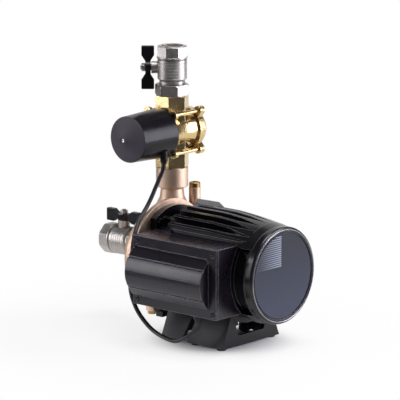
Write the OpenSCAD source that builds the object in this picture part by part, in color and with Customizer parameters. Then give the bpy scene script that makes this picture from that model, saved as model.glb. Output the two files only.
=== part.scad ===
// Booster pump: end-suction volute pump with a wet-rotor motor, flow switch and two union ball valves.
// The motor axis runs along X with the rear end cap at +X, the terminal box at -Y and the floor at Z = 0.

/* [Motor] */
// Height of the motor axis above the floor
axis_height = 106; // [101:1:120]
// Length of the finned housing
housing_len = 154; // [148:1:180]
// Radius over the tips of the cooling fins
fin_tip_r = 77; // [74:0.5:80]
// Radius of the housing between the fins
fin_root_r = 66; // [65:0.5:70]
// Thickness of a cooling fin at its tip
fin_w = 3.6; // [2:0.2:5]
// Angle from one cooling fin to the next
fin_pitch = 11; // [10:0.5:14]
// Radius of the stator pack
stator_r = 58; // [54:0.5:60]
// Length of the stator pack
stator_len = 80; // [50:1:85]
// Slots in the stator pack
stator_slots = 24; // [12:6:36]
// Radius of the rotor
rotor_r = 32; // [26:0.5:34]
// Radius of the shaft
shaft_r = 7; // [6:0.25:8]
// Radius of the rear end cap
end_r = 67.5; // [66:0.5:70]
// Length of the rear end cap
end_cap_len = 12; // [9:0.5:18]
// Radius of the bare label disc
label_r = 59; // [45:0.5:61]
// Length of the drive-end bracket
bracket_len = 41; // [36:1:48]
// Radius of the bracket's flange on the pump casing
bracket_r = 70.5; // [68:0.5:74]
// Width of the bracket's flange between its two flats
bracket_w = 82; // [80:1:96]

/* [Pump] */
// Radius of the casing's clamping rim
casing_r = 77.5; // [74:0.5:84]
// Distance from the casing's joint face to its suction face
casing_len = 49; // [48:0.5:56]
// Distance from the casing's joint face to the middle of the volute
volute_depth = 25; // [24:0.5:28]
// Radius of the impeller
impeller_r = 49; // [40:0.5:49.5]
// Blades in the impeller
blade_count = 6; // [4:1:8]
// Offset of the discharge from the motor axis
discharge_offset = 31.5; // [26:0.5:36]
// Height of the discharge face above the motor axis
discharge_height = 116.5; // [110:0.5:130]
// Height of the suction port above the motor axis
suction_rise = 6; // [0:0.5:7]
// Wall thickness of the casing's neck
casing_wall = 4; // [3:0.25:5]
// Radius of the bolt circle that clamps the casing
casing_bolt_circle = 61.5; // [61:0.25:64]
// Radius of the casing bolts
casing_bolt_r = 3; // [2.5:0.25:3.5]

/* [Ports] */
// Wall radius of the 1 inch female pipe threads
port_r = 15.15; // [13:0.05:17]
// Length of the female pipe threads
port_len = 15; // [12:0.5:17]

/* [Terminal box] */
// Length of the terminal box along the motor
box_len = 151.5; // [140:0.5:165]
// Height of the terminal box
box_h = 97; // [92:0.5:104]
// Distance from the motor axis to the flange of the terminal cover
box_reach = 95; // [92:0.5:104]
// Wall thickness of the box and its cover
box_wall = 3; // [2:0.25:4]
// Height of the round crown on the cover
crown_proud = 17.5; // [15:0.5:22]
// Distance of the cover screws from the cover's edges
screw_inset = 7; // [6:0.25:9]
// Radius of the run capacitor
capacitor_r = 13.5; // [10:0.5:14]
// Length of the run capacitor
capacitor_len = 62; // [40:1:70]

/* [Base] */
// Width of the base at the floor
base_w = 121; // [110:1:130]
// Length of the base along the motor
base_len = 112; // [100:1:116]
// Wall thickness of the base
base_wall = 6; // [5:0.5:8]
// Height of the feet under the base
foot_h = 3; // [2:0.5:6]
// Radius of a foot
foot_r = 7; // [5:0.5:9]

/* [Flow switch] */
// Height of the brass body between its two pipe stubs' faces
flow_h = 101.5; // [96:0.5:112]
// Width across the flats of the six-sided pipe stubs
stub_w = 42; // [40:0.5:46]
// Radius of the waist of the brass drum
drum_r = 24; // [23.5:0.5:27]
// Length of the black cover
cover_len = 68; // [55:1:80]
// Radius of the cover at the brass body
cover_r = 35; // [33:0.5:37]
// Radius of the cover at its front
cover_front_r = 32.5; // [29:0.5:33]
// Radius of the flap
flap_r = 14; // [12:0.25:15]

/* [Ball valves] */
// Length of a valve from its port face to its mouth
valve_len = 70; // [68:0.5:80]
// Width across the flats of the valve's eight-sided end
valve_end_w = 41; // [38:0.5:46]
// Width across the flats of the union nut
nut_w = 42.5; // [41:0.5:48]
// Radius of the ball
ball_r = 17; // [15.5:0.25:17.5]
// Radius of the passage through the ball
ball_bore_r = 12.5; // [9:0.25:13]
// Radius of the valve stem
stem_r = 4.5; // [3.5:0.25:5.5]
// Length of the butterfly handle
handle_len = 61; // [56:1:72]
// Direction of the outlet handle, turned from -X towards -Y
outlet_turn = 41.6; // [0:0.1:90]

/* [Fits] */
// Radial gap of a shaft in its bearing
running_gap = 0.05; // [0.02:0.01:0.1]
// Gap between parts that are assembled by hand
slip_gap = 0.15; // [0.1:0.05:0.3]
// Gap between moving parts that must never touch
free_gap = 0.6; // [0.4:0.1:1]

/* [Hidden] */
$fn = 72;
eps = 0.01;

// Colours as the object shows them
black_paint = "#3a373e";
black_plastic = "#4a474d";
dark_plastic = "#232127";
label_grey = "#5c6273";
bronze = "#c99f80";
brass = "#c9a24d";
nickel = "#b9b3ae";
steel = "#a6a8ab";
copper = "#b06a3c";
rubber = "#1c1b1d";

// Stations along the motor axis, measured from the discharge's foot
joint_x = -3;
rim_len = 6.4;
volute_x = joint_x - volute_depth;
suction_x = joint_x - casing_len;
housing_x = joint_x + bracket_len;
housing_end_x = housing_x + housing_len;
cap_face_x = housing_end_x + end_cap_len;

// Fins of the housing
fin_first = 45;
fin_count = 17;
fin_foot_w = 6;
fin_straight = 70;
groove_end = housing_len - 13;
groove_end_r = end_r + 2.3;
groove_taper = 58;
groove_ramp = 20;
housing_wall = 3;

// Rim of the end cap: a fine bead, and the recess that holds the label disc
bead_r = end_r - 3.7;
bead_h = 0.6;
label_recess = 2.2;
label_gap = 2;

// Terminal box
box_x = 13.5;
box_top = 45;
box_low = box_top - box_h;
flange_t = 4;
gasket_t = 1;
box_face = box_reach - flange_t - gasket_t;
box_floor = fin_root_r + housing_wall;
crown_len = box_len - 2 * screw_inset;
crown_mid = -5;
crown_half = 20;
cover_screw_r = 1.7;
gland_x = 117.5;
gland_y = -78;
supply_x = 45;

// Base
base_x = 34;
base_top_w = 78;
base_web = 8;
foot_stud_r = 3;
base_screw_y = 24;
base_screw_r = 2.5;

// Flow switch, whose body lies along Y
flow_z = discharge_height + flow_h / 2;
flow_top = discharge_height + flow_h;
flange_front = -20;
flange_back = 31;
rear_dome = 16;
dome_r = 27.5;
flow_flange_t = 5;
flow_flange_r = 30.5;
ear_r = 6.5;
flow_screw_x = 24;
flow_screw_z = 27.5;
flow_bore_r = 13.5;
chamber_r = 21;
drum_flare = 4;
stub_sink = 9;
flap_z = -15;
flap_pin_y = 16;
flap_pin_r = 1.5;

// Ball valve, measured up from its port face
nut_len = 19;
ball_z = 39;
body_low = 13;
stem_boss_end = 29;
hub_start = 30;
hub_len = 7.5;
valve_ball_r = 20.6;
union_r = 18;
stud_r = 3;
tail_r = port_r + 1.6;

// Threads that are screwed together in the pump are drawn at their pitch radius
joint_r = port_r + 0.75;

// Overall limits, which centre the model over the floor
near_y = box_reach + crown_proud;
far_y = discharge_offset + flange_back + rear_dome;
mid_x = (cap_face_x + suction_x - valve_len) / 2;
mid_y = (far_y - near_y) / 2;

module at_axis() {
  translate([-mid_x, -mid_y, axis_height]) children();
}

module along_x(x = 0) {
  translate([x, 0, 0]) rotate([0, 90, 0]) children();
}

module towards_front(y = 0) {
  translate([0, -y, 0]) rotate([90, 0, 0]) children();
}

module ring(outer, inner, height) {
  difference() {
    cylinder(r = outer, h = height);
    translate([0, 0, -eps]) cylinder(r = inner, h = height + 2 * eps);
  }
}

module hexagon(across, height) {
  cylinder(r = across / 2 / cos(30), h = height, $fn = 6);
}

// A bar of several sides whose corners are turned down at both ends, as on nuts and pipe ends
module turned_prism(across, sides, height, chamfer) {
  corner_r = across / 2 / cos(180 / sides);
  intersection() {
    rotate(180 / sides) cylinder(r = corner_r, h = height, $fn = sides);
    rotate_extrude()
      polygon([[0, 0], [corner_r - chamfer, 0], [corner_r + 1, chamfer + 1],
               [corner_r + 1, height - chamfer - 1], [corner_r - chamfer, height], [0, height]]);
  }
}

// Screw with a round head, pointing down from z = 0
module cap_screw(r, length, head_r, head_h) {
  difference() {
    cylinder(r = head_r, h = head_h);
    translate([0, 0, head_h / 2]) hexagon(head_r, head_h);
  }
  translate([0, 0, -length]) cylinder(r = r, h = length + eps);
}

// Motor

// Outer surface of the housing without its fins, as a solid of revolution along +Z
module housing_skin(grow = 0) {
  rotate_extrude()
    polygon([[0, 0], [fin_root_r + grow, 0], [fin_root_r + grow, groove_end - groove_ramp],
             [groove_end_r + 0.2 + grow, groove_end], [end_r + grow, housing_len], [0, housing_len]]);
}

// Shell that the fins are cut from: it keeps its full height at first, then draws in towards the end cap
module fin_shell() {
  inner = fin_root_r - housing_wall;
  fall = groove_end - fin_straight;
  edge = [for (i = [0 : 8])
    [fin_tip_r - (fin_tip_r - groove_end_r) * pow(i / 8, 1.3), fin_straight + fall * i / 8]];
  last = fin_first + (fin_count - 1) * fin_pitch;
  side = asin(fin_w / 2 / fin_tip_r);
  intersection() {
    rotate_extrude()
      polygon(concat([[inner, 0.5], [fin_tip_r - 1, 0.5], [fin_tip_r, 1.5]], edge,
                     [[inner, groove_end + 4]]));
    linear_extrude(housing_len)
      polygon(concat([[0, 0]], [for (i = [0 : 8])
        let (a = fin_first - side + (last - fin_first + 2 * side) * i / 8)
        1.2 * fin_tip_r * [cos(a), sin(a)]]));
  }
}

// Groove between two fins, with drafted sides, that runs out in a point
module fin_groove() {
  low = fin_root_r - housing_wall - 1;
  high = fin_tip_r + 5;
  foot_half = fin_root_r * sin(fin_pitch / 2) - fin_foot_w / 2;
  tip_half = fin_tip_r * sin(fin_pitch / 2) - fin_w / 2;
  draft = (tip_half - foot_half) / (fin_tip_r - fin_root_r);
  low_half = foot_half - draft * (fin_root_r - low);
  high_half = tip_half + draft * (high - fin_tip_r);
  intersection() {
    linear_extrude(2 * groove_end, center = true)
      polygon([[low, -low_half], [high, -high_half], [high, high_half], [low, low_half]]);
    translate([low - 1, 0, 0]) rotate([90, 0, 90]) linear_extrude(high - low + 2)
      polygon([[-high_half - 1, -1], [high_half + 1, -1], [high_half + 1, groove_end - groove_taper],
               [0, groove_end - 1], [-high_half - 1, groove_end - groove_taper]]);
  }
}

// Raised pad with a sloping end, among the fins on top
module lifting_pad() {
  pad_len = 35;
  pad_slope = 13;
  pad_w = 24;
  pad_r = fin_tip_r + 5.5;
  rotate([90, 0, 0]) translate([0, 0, -pad_w / 2]) linear_extrude(pad_w)
    polygon([[fin_root_r - 2, 1], [pad_r - 1, 1], [pad_r, 2], [pad_r, pad_len - pad_slope],
             [fin_tip_r - 1.5, pad_len], [fin_root_r - 2, pad_len]]);
}

module motor_housing() {
  color(black_paint) at_axis() difference() {
    union() {
      along_x(housing_x) difference() {
        housing_skin();
        side_recess();
      }
      along_x(housing_x) difference() {
        fin_shell();
        for (i = [0 : fin_count - 2]) rotate(fin_first + (i + 0.5) * fin_pitch) fin_groove();
      }
      along_x(housing_x) rotate(180 - 14) lifting_pad();
    }
    along_x(housing_x - eps) cylinder(r = stator_r, h = housing_len + 1);
    wire_hole();
    base_screw_places() translate([0, 0, -1]) cylinder(r = base_screw_r, h = 20);
  }
}

// Hollow between the terminal box and the end cap, as high as the box
module side_recess() {
  edge = 2;
  start = box_x + box_len + edge - housing_x;
  inner = stator_r + housing_wall;
  intersection() {
    translate([0, 0, start]) ring(fin_tip_r, inner, housing_len - edge - start);
    translate([edge - box_top, -fin_tip_r, 0]) cube([box_h - 2 * edge, fin_tip_r - inner / 3, housing_len]);
  }
}

// Screws between the base and the housing, seen from the stator bore outwards
module base_screw_places() {
  for (x = [base_x + 26, base_x + base_len - 19], y = [-1, 1])
    translate([x, y * base_screw_y, -stator_r]) rotate([180, 0, 0]) children();
}

module wire_hole() {
  towards_front(stator_r - 4) translate([supply_x + 30, 0, 0]) cylinder(r = 6, h = 30);
}

module motor_bracket() {
  lantern_r = 58;
  color(black_paint) at_axis() difference() {
    union() {
      intersection() {
        along_x(joint_x) cylinder(r = bracket_r, h = 10);
        translate([joint_x, -bracket_w / 2, -bracket_r]) cube([10, bracket_w, 2 * bracket_r]);
      }
      translate([joint_x, -30, -axis_height + 21]) cube([12, 60, 40]);
      along_x(joint_x) rotate_extrude()
        polygon([[0, 0], [lantern_r - 2, 0], [lantern_r - 2, 10], [lantern_r - 12, 18],
                 [lantern_r - 12, 26], [fin_root_r, 33], [fin_root_r, bracket_len], [0, bracket_len]]);
      for (i = [0 : 7])
        rotate([i * 45 + 22.5, 0, 0]) translate([joint_x + 6, -2, lantern_r - 16])
          cube([30, 4, 20]);
      along_x(housing_x - eps) ring(stator_r - slip_gap, stator_r - 6, 5);
    }
    along_x(joint_x - eps) cylinder(r = plate_r + slip_gap, h = plate_t + eps);
    along_x(joint_x) cylinder(r = can_flange_r + slip_gap, h = plate_t + 2);
    along_x(joint_x) cylinder(r = can_outer + slip_gap, h = bracket_len + 10);
    along_x(joint_x + 30) cylinder(r = stator_r - 6, h = bracket_len);
    bolt_places() translate([0, 0, -eps]) cylinder(r = casing_bolt_r + 0.3, h = 30);
    bolt_places() translate([0, 0, 10]) cylinder(r = casing_bolt_r * 2 + 1.5, h = 12);
  }
}

// Parts of the wet end that the bearing plate shares
plate_r = impeller_r + 8;
plate_t = 5;
can_wall = 0.6;
can_outer = rotor_r + 0.6 + can_wall;
can_flange_r = can_outer + 6;
bush_r = 13;
can_end_x = housing_x + 132;
rear_bush_len = 14;

module bolt_places() {
  out = bracket_w / 2 - 7.5;
  up = sqrt(pow(casing_bolt_circle, 2) - pow(out, 2));
  for (y = [-1, 1], z = [-1, 1])
    translate([joint_x, y * out, z * up]) rotate([0, 90, 0]) children();
}

module bearing_plate() {
  color(steel) at_axis() difference() {
    union() {
      along_x(joint_x) cylinder(r = plate_r, h = plate_t);
      along_x(joint_x) cylinder(r = bush_r + 4, h = plate_t + 16);
    }
    along_x(joint_x - eps) cylinder(r = bush_r, h = plate_t + 20);
    for (i = [0 : 3])
      rotate([i * 90 + 45, 0, 0]) along_x(joint_x - 1) translate([bush_r + 10, 0, 0])
        cylinder(r = 2, h = 10);
  }
}

module end_cap() {
  rim = end_cap_len - bead_h;
  color(black_paint) at_axis() along_x(housing_end_x) difference() {
    union() {
      rotate_extrude()
        polygon([[0, 0], [end_r, 0], [end_r, rim - 2.5], [end_r - 0.7, rim - 0.9], [end_r - 2.2, rim],
                 [bead_r + 1, rim], [bead_r + 0.6, rim + bead_h], [bead_r - 0.6, rim + bead_h],
                 [bead_r - 1, rim], [0, rim]]);
      translate([0, 0, -4]) cylinder(r = stator_r - slip_gap, h = 5);
    }
    translate([0, 0, -5]) cylinder(r = stator_r - 4, h = end_cap_len - 1);
    translate([0, 0, end_cap_len - label_recess]) cylinder(r = label_r + label_gap, h = label_recess + 1);
  }
}

module label_disc() {
  color(label_grey) at_axis() along_x(cap_face_x - label_recess) cylinder(r = label_r, h = 0.9);
}

// Stator, whose slots start just outside the rotor can
stator_start = housing_x + 26;
slot_r = can_outer + 3;
slot_depth = (stator_r - can_outer) * 0.52;
slot_w = 2 * PI * slot_r / stator_slots * 0.45;

module stator_slots_all() {
  for (i = [0 : stator_slots - 1])
    rotate(i * 360 / stator_slots)
      translate([slot_r, -slot_w / 2, -eps]) cube([slot_depth, slot_w, stator_len + 2 * eps]);
}

module stator_core() {
  color(steel) at_axis() along_x(stator_start) difference() {
    ring(stator_r, can_outer, stator_len);
    stator_slots_all();
  }
}

module stator_windings() {
  turn_len = 15;
  color(copper) at_axis() along_x(stator_start) {
    for (z = [-turn_len, stator_len])
      translate([0, 0, z]) winding_ring(slot_r - 0.5, slot_r + slot_depth + 1, turn_len);
    stator_slots_all();
  }
}

module winding_ring(inner, outer, height) {
  corner = 3;
  rotate_extrude()
    polygon([[inner, corner], [inner + corner, 0], [outer - corner, 0], [outer, corner],
             [outer, height - corner], [outer - corner, height], [inner + corner, height],
             [inner, height - corner]]);
}

module rotor_can() {
  start = joint_x + plate_t;
  len = can_end_x - start;
  neck = len - rear_bush_len - 4;
  color(steel) at_axis() along_x(start) rotate_extrude()
    polygon([[can_outer - can_wall, 0], [can_flange_r, 0], [can_flange_r, 1.5], [can_outer, 1.5],
             [can_outer, neck], [bush_r + can_wall, neck + 2], [bush_r + can_wall, len],
             [0, len], [0, len - can_wall], [bush_r, len - can_wall], [bush_r, neck + 1.4],
             [can_outer - can_wall, neck - 0.6]]);
}

module rotor_core() {
  color(steel) at_axis() along_x(stator_start) ring(rotor_r, shaft_r, stator_len);
}

shaft_end_x = joint_x - 8;
shaft_stud_r = 5;

module shaft() {
  rear = can_end_x - 2;
  color(steel) at_axis() along_x() rotate_extrude()
    polygon([[0, volute_x - 14], [shaft_stud_r - 0.5, volute_x - 14], [shaft_stud_r, volute_x - 13.5],
             [shaft_stud_r, shaft_end_x], [shaft_r, shaft_end_x], [shaft_r, rear - 1],
             [shaft_r - 1, rear], [0, rear]]);
}

module bush(length) {
  difference() {
    ring(bush_r, shaft_r + running_gap, length);
    for (i = [0 : 2])
      rotate(i * 120) translate([shaft_r - 0.5, -1, -eps]) cube([1.8, 2, length + 2 * eps]);
  }
}

module front_bearing() {
  color(dark_plastic) at_axis() along_x(joint_x + 2) bush(plate_t + 14);
}

module rear_bearing() {
  color(dark_plastic) at_axis() along_x(can_end_x - rear_bush_len - 1) bush(rear_bush_len);
}

// Pump

// The volute bulges around a centre below and beyond the motor axis, so it grows towards the discharge
volute_shift = 5;
volute_r = impeller_r + 18;
volute_round = 12;

module at_volute(x = 0) {
  translate([0, volute_shift, -volute_shift]) along_x(x) children();
}

module at_suction() {
  translate([suction_x, 0, suction_rise]) rotate([0, 90, 0]) children();
}

module volute_bulge() {
  round_points = [for (i = [0 : 6])
    let (a = i * 15)
    [volute_r - volute_round * (1 - sin(a)), volute_x - volute_round * cos(a)]];
  rotate_extrude()
    polygon(concat([[0, volute_x - volute_round]], round_points,
                   [[volute_r - 1, joint_x - rim_len + 1], [0, joint_x - rim_len + 1]]));
}

plug_at = [joint_x - 9.5, 62];
plug_face = 84;
plug_r = 8.2;
drain_y = -10;
eye_r = 17;

module pump_casing() {
  neck_bore_r = 12;
  neck_r = neck_bore_r + casing_wall;
  boss_r = port_r + 7.5;
  boss_low = 88.5;
  color(bronze) at_axis() difference() {
    union() {
      along_x(joint_x - rim_len) cylinder(r = casing_r, h = rim_len);
      along_x() rotate_extrude()
        polygon([[0, volute_x - 18], [port_r + 12, volute_x - 18], [impeller_r - 4, volute_x - 14.5],
                 [impeller_r + 2, volute_x - 13], [impeller_r + 7, volute_x - 8],
                 [impeller_r + 7, joint_x - 1], [0, joint_x - 1]]);
      at_suction() rotate_extrude()
        polygon([[0, 0], [port_r + 8, 0], [port_r + 9, 1], [port_r + 9, casing_len - volute_depth - 10],
                 [0, casing_len - volute_depth - 10]]);
      at_volute() volute_bulge();
      translate([volute_x, discharge_offset, 0]) rotate_extrude()
        polygon([[0, 0], [neck_r + 9, 0], [neck_r + 8.5, volute_r - 9], [neck_r + 5, volute_r - 1],
                 [neck_r + 1.5, volute_r + 6], [neck_r, boss_low - 3], [neck_r + 1, boss_low - 2],
                 [boss_r - 1, boss_low - 0.5], [boss_r, boss_low + 1], [boss_r, discharge_height - 1],
                 [boss_r - 1, discharge_height], [0, discharge_height]]);
      translate([plug_at[0], plug_at[1], 20]) cylinder(r = plug_r, h = plug_face - 20);
      translate([volute_x, drain_y, 0]) rotate([180, 0, 0]) cylinder(r = 9, h = 84);
    }
    along_x(volute_x - 8.5) cylinder(r = impeller_r + 3, h = volute_depth + 9.5);
    at_volute(volute_x - 8) cylinder(r = volute_r - volute_round / 2, h = 16);
    at_suction() translate([0, 0, -1]) cylinder(r = joint_r, h = port_len + 1);
    along_x(volute_x - 16) cylinder(r = eye_r - 3, h = 12);
    along_x(volute_x - 15) cylinder(r = eye_r + free_gap / 2, h = 10);
    translate([volute_x, discharge_offset, discharge_height - port_len])
      cylinder(r = joint_r, h = port_len + 1);
    translate([volute_x, discharge_offset, impeller_r / 2]) cylinder(r = neck_bore_r, h = discharge_height);
    translate([plug_at[0], plug_at[1], plug_face - 9]) cylinder(r = 5, h = 10);
    translate([volute_x, drain_y, -76]) rotate([180, 0, 0]) cylinder(r = 4, h = 10);
    along_x(joint_x - 2.5) ring(impeller_r + 6.8, impeller_r + 4.2, 3);
    bolt_places() translate([0, 0, -rim_len - 1]) cylinder(r = casing_bolt_r, h = 10);
  }
}

module casing_o_ring() {
  section = 1.2;
  color(rubber) at_axis() along_x(joint_x - section - 0.05)
    rotate_extrude() translate([impeller_r + 5.5, 0]) circle(section, $fn = 20);
}

module casing_bolts() {
  color(steel) at_axis() bolt_places() {
    translate([0, 0, -rim_len]) cylinder(r = casing_bolt_r, h = rim_len + 11);
    translate([0, 0, 10]) turned_prism(10, 6, 4, 0.6);
  }
}

shroud = 2.5;
blade_h = 8;

module impeller() {
  hub_r = 11;
  color(brass) at_axis() along_x() {
    difference() {
      union() {
        translate([0, 0, volute_x + blade_h / 2]) cylinder(r = impeller_r, h = shroud);
        translate([0, 0, volute_x - 6]) cylinder(r = hub_r, h = shaft_end_x - volute_x + 6);
        front_shroud();
        for (i = [0 : blade_count - 1])
          rotate(i * 360 / blade_count) translate([0, 0, volute_x - blade_h / 2 - eps]) blade();
      }
      translate([0, 0, volute_x - 20]) cylinder(r = shaft_stud_r, h = 60);
    }
  }
}

module front_shroud() {
  rotate_extrude()
    polygon([[eye_r - 3, volute_x - 10.5], [eye_r, volute_x - 10.5], [eye_r, volute_x - 8],
             [eye_r + 5, volute_x - blade_h / 2 - shroud], [impeller_r, volute_x - blade_h / 2 - shroud],
             [impeller_r, volute_x - blade_h / 2], [eye_r + 4, volute_x - blade_h / 2],
             [eye_r - 3, volute_x - 9]]);
}

// Backward-curved blade, a slice of a circular wall
module blade() {
  curve_r = impeller_r * 0.72;
  intersection() {
    translate([impeller_r * 0.42, impeller_r * 0.42, 0]) ring(curve_r, curve_r - 2.2, blade_h + 2 * eps);
    ring(impeller_r - 0.3, eye_r - 1, blade_h + 2 * eps);
    translate([0, -impeller_r, 0]) cube([impeller_r, impeller_r, blade_h + 2 * eps]);
  }
}

module impeller_nut() {
  nut_across = 15;
  nut_h = 6;
  color(steel) at_axis() along_x(volute_x - 12) difference() {
    turned_prism(nut_across, 6, nut_h, 0.8);
    translate([0, 0, -eps]) cylinder(r = shaft_stud_r, h = nut_h + 1);
  }
}

module priming_plug() {
  color(brass) at_axis() translate([plug_at[0], plug_at[1], plug_face]) {
    translate([0, 0, -8]) cylinder(r = 5, h = 8 + eps);
    difference() {
      rotate_extrude()
        polygon([[0, 0], [plug_r - 0.3, 0], [plug_r - 0.3, 6], [plug_r - 1.2, 7], [0, 7]]);
      translate([0, 0, 3]) hexagon(8, 5);
    }
  }
}

module drain_plug() {
  color(brass) at_axis() translate([volute_x, drain_y, -84]) rotate([180, 0, 0]) {
    translate([0, 0, -7]) cylinder(r = 4, h = 7 + eps);
    turned_prism(12, 6, 5, 0.6);
  }
}

// Terminal box

module terminal_box() {
  post_r = 4.5;
  post_bore = 24;
  color(black_plastic) at_axis() difference() {
    translate([box_x, -box_face, box_low]) cube([box_len, box_face - 30, box_h]);
    along_x(housing_x) housing_skin(slip_gap);
    along_x(box_x - 1) cylinder(r = fin_root_r + slip_gap, h = bracket_len);
    translate([box_x + box_wall, -box_face - eps, box_low + box_wall])
      cube([box_len - 2 * box_wall, box_face - box_floor, box_h - 2 * box_wall]);
    wire_hole();
    cover_screw_places() translate([0, 0, -post_bore]) cylinder(r = cover_screw_r, h = 30);
    gland_place(gland_x) cylinder(r = gland_r, h = 20, center = true);
    gland_place(supply_x) cylinder(r = supply_r, h = 20, center = true);
  }
  color(black_plastic) at_axis() intersection() {
    translate([box_x + box_wall, -box_face, box_low + box_wall])
      cube([box_len - 2 * box_wall, box_face - box_floor, box_h - 2 * box_wall]);
    difference() {
      cover_screw_places() translate([0, 0, -box_face]) cylinder(r = post_r, h = box_face);
      cover_screw_places() translate([0, 0, -post_bore]) cylinder(r = cover_screw_r, h = 30);
    }
  }
}

gland_r = 4.5;
supply_r = 6.5;
cord_r = 3;

module gland_place(x) {
  translate([x, gland_y, box_low]) rotate([180, 0, 0]) children();
}

module cover_screw_places() {
  for (x = [screw_inset, box_len - screw_inset], z = [screw_inset, box_h - screw_inset])
    translate([box_x + x, -box_reach, box_low + z]) rotate([90, 0, 0]) children();
}

module terminal_gasket() {
  color(rubber) at_axis() towards_front(box_face) translate([box_x, box_low, 0]) difference() {
    cube([box_len, box_h, gasket_t]);
    translate([box_wall, box_wall, -eps]) difference() {
      cube([box_len - 2 * box_wall, box_h - 2 * box_wall, gasket_t + 1]);
      for (x = [0, 1], z = [0, 1])
        translate([x * (box_len - 2 * box_wall) - 7, z * (box_h - 2 * box_wall) - 7, -1]) cube([14, 14, 4]);
    }
    for (x = [screw_inset, box_len - screw_inset], z = [screw_inset, box_h - screw_inset])
      translate([x, z, -eps]) cylinder(r = 2.2, h = gasket_t + 1);
  }
}

// Section of the cover from top to bottom: x is the height above the motor axis, y the distance in front of
// the flange
crown_r = (pow(crown_half, 2) + pow(crown_proud - 11.5, 2)) / 2 / (crown_proud - 11.5);
function crown_arc(shrink = 0) =
  let (half_angle = asin(crown_half / crown_r))
  [for (i = [0 : 12])
    let (a = half_angle * (1 - i / 6))
    [crown_mid + (crown_r - shrink) * sin(a), crown_proud - crown_r + (crown_r - shrink) * cos(a)]];
function cover_section() = concat(
  [[box_top, -flange_t], [box_top, 0], [31, 0], [31, -1.5], [29.5, -2.5], [17, 10], [17, 8.5], [15.5, 8.5]],
  crown_arc(),
  [[-25.5, 8.5], [-27, 8.5], [-27, 10.5], [-39, 1.2], [-39, -1], [-40, -1], [-40, 0], [box_low, 0],
   [box_low, -flange_t]]);
function cover_hollow() = concat(
  [[29, -flange_t - 1], [29, -5], [14, 6.5]], crown_arc(box_wall),
  [[-24, 6.5], [-36, -2], [-36, -flange_t - 1]]);

module cover_profile(outline, length) {
  rotate([90, 0, 90]) linear_extrude(length)
    polygon([for (p = outline) [-box_reach - p[1], p[0]]]);
}

module terminal_cover() {
  slope_cut = [[31, 3], [31, -1.5], [29.5, -2.5], [24, 3]];
  color(black_plastic) at_axis() difference() {
    union() {
      translate([box_x, 0, 0]) cover_profile(cover_section(), crown_len);
      translate([box_x, -box_reach, box_low]) cube([box_len, flange_t, box_h]);
    }
    translate([box_x + 2.5, 0, 0]) cover_profile(slope_cut, crown_len - 5);
    translate([box_x + box_wall, 0, 0]) cover_profile(cover_hollow(), crown_len - 2 * box_wall);
    cover_screw_places() translate([0, 0, -flange_t - 1]) cylinder(r = 2.2, h = 10);
    cover_screw_places() translate([0, 0, -1.6]) cylinder(r = 4.2, h = 10);
  }
}

module cover_screws() {
  color(steel) at_axis() cover_screw_places() difference() {
    union() {
      translate([0, 0, -18]) cylinder(r = cover_screw_r, h = 17);
      translate([0, 0, -1.6]) cylinder(r = 3.6, h = 2.4);
    }
    translate([-2.6, -0.5, 0]) cube([5.2, 1, 2]);
    translate([-0.5, -2.6, 0]) cube([1, 5.2, 2]);
  }
}

module terminal_block() {
  ways = 5;
  pitch = 9;
  color("#d8d4c8") at_axis() translate([box_x + 12, -box_floor - 12, -22]) difference() {
    cube([14, 12, ways * pitch + 2]);
    for (i = [0 : ways - 1], x = [4, 10])
      translate([x, -1, 1 + pitch * (i + 0.5)]) rotate([-90, 0, 0]) cylinder(r = 2, h = 6);
  }
}

capacitor_x = box_x + 46;
capacitor_y = capacitor_r + box_wall + 4 - near_y;

module capacitor() {
  color("#d9d9d6") at_axis() translate([0, capacitor_y, crown_mid]) along_x(capacitor_x) {
    rotate_extrude()
      polygon([[0, 0], [capacitor_r - 1.5, 0], [capacitor_r, 1.5], [capacitor_r, capacitor_len - 1],
               [capacitor_r - 1, capacitor_len], [0, capacitor_len]]);
    for (y = [-4, 4]) translate([-0.4, y - 2.4, capacitor_len - eps]) cube([0.8, 4.8, 9]);
  }
}

module capacitor_clip() {
  clip_w = 10;
  clip_x = 24;
  color(steel) at_axis() translate([capacitor_x + clip_x, capacitor_y, crown_mid]) {
    along_x() ring(capacitor_r + 1.6, capacitor_r, clip_w);
    translate([0, capacitor_r + 0.5, -8]) cube([clip_w, -capacitor_y - capacitor_r - 0.5 - box_floor, 16]);
  }
}

module gland(r, body) {
  difference() {
    union() {
      translate([0, 0, -6]) cylinder(r = r, h = 6 + eps);
      translate([0, 0, -6]) cylinder(r = r + 1.5, h = 2.8);
      turned_prism(2 * r + 4, 6, 4, 0.6);
      translate([0, 0, 4 - eps]) cylinder(r1 = r + 1.2, r2 = r - 0.5, h = body - 4);
    }
    children();
  }
}

module cord_gland() {
  color(dark_plastic) at_axis() gland_place(gland_x) gland(gland_r, 12)
    translate([0, 0, -7]) cylinder(r = cord_r + 0.05, h = 30);
}

module supply_gland() {
  color(dark_plastic) at_axis() gland_place(supply_x) gland(supply_r, 9)
    translate([0, 0, -7]) cylinder(r = 3.5, h = 8);
}

// Base

base_floor_z = -axis_height + foot_h;
base_top_z = box_low - slip_gap;

// Half of the base's width at a height
function base_half(z) =
  base_w / 2 + (base_top_w - base_w) / 2 * (z - base_floor_z) / (base_top_z - base_floor_z);

// Slab of the base from one height to another, drawn in by a wall at its sides and ends
module base_block(low, high, wall) {
  rotate([90, 0, 90]) translate([0, 0, wall]) linear_extrude(base_len - 2 * wall)
    polygon([[wall - base_half(low), low], [base_half(low) - wall, low],
             [base_half(high) - wall, high], [wall - base_half(high), high]]);
}

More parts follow.
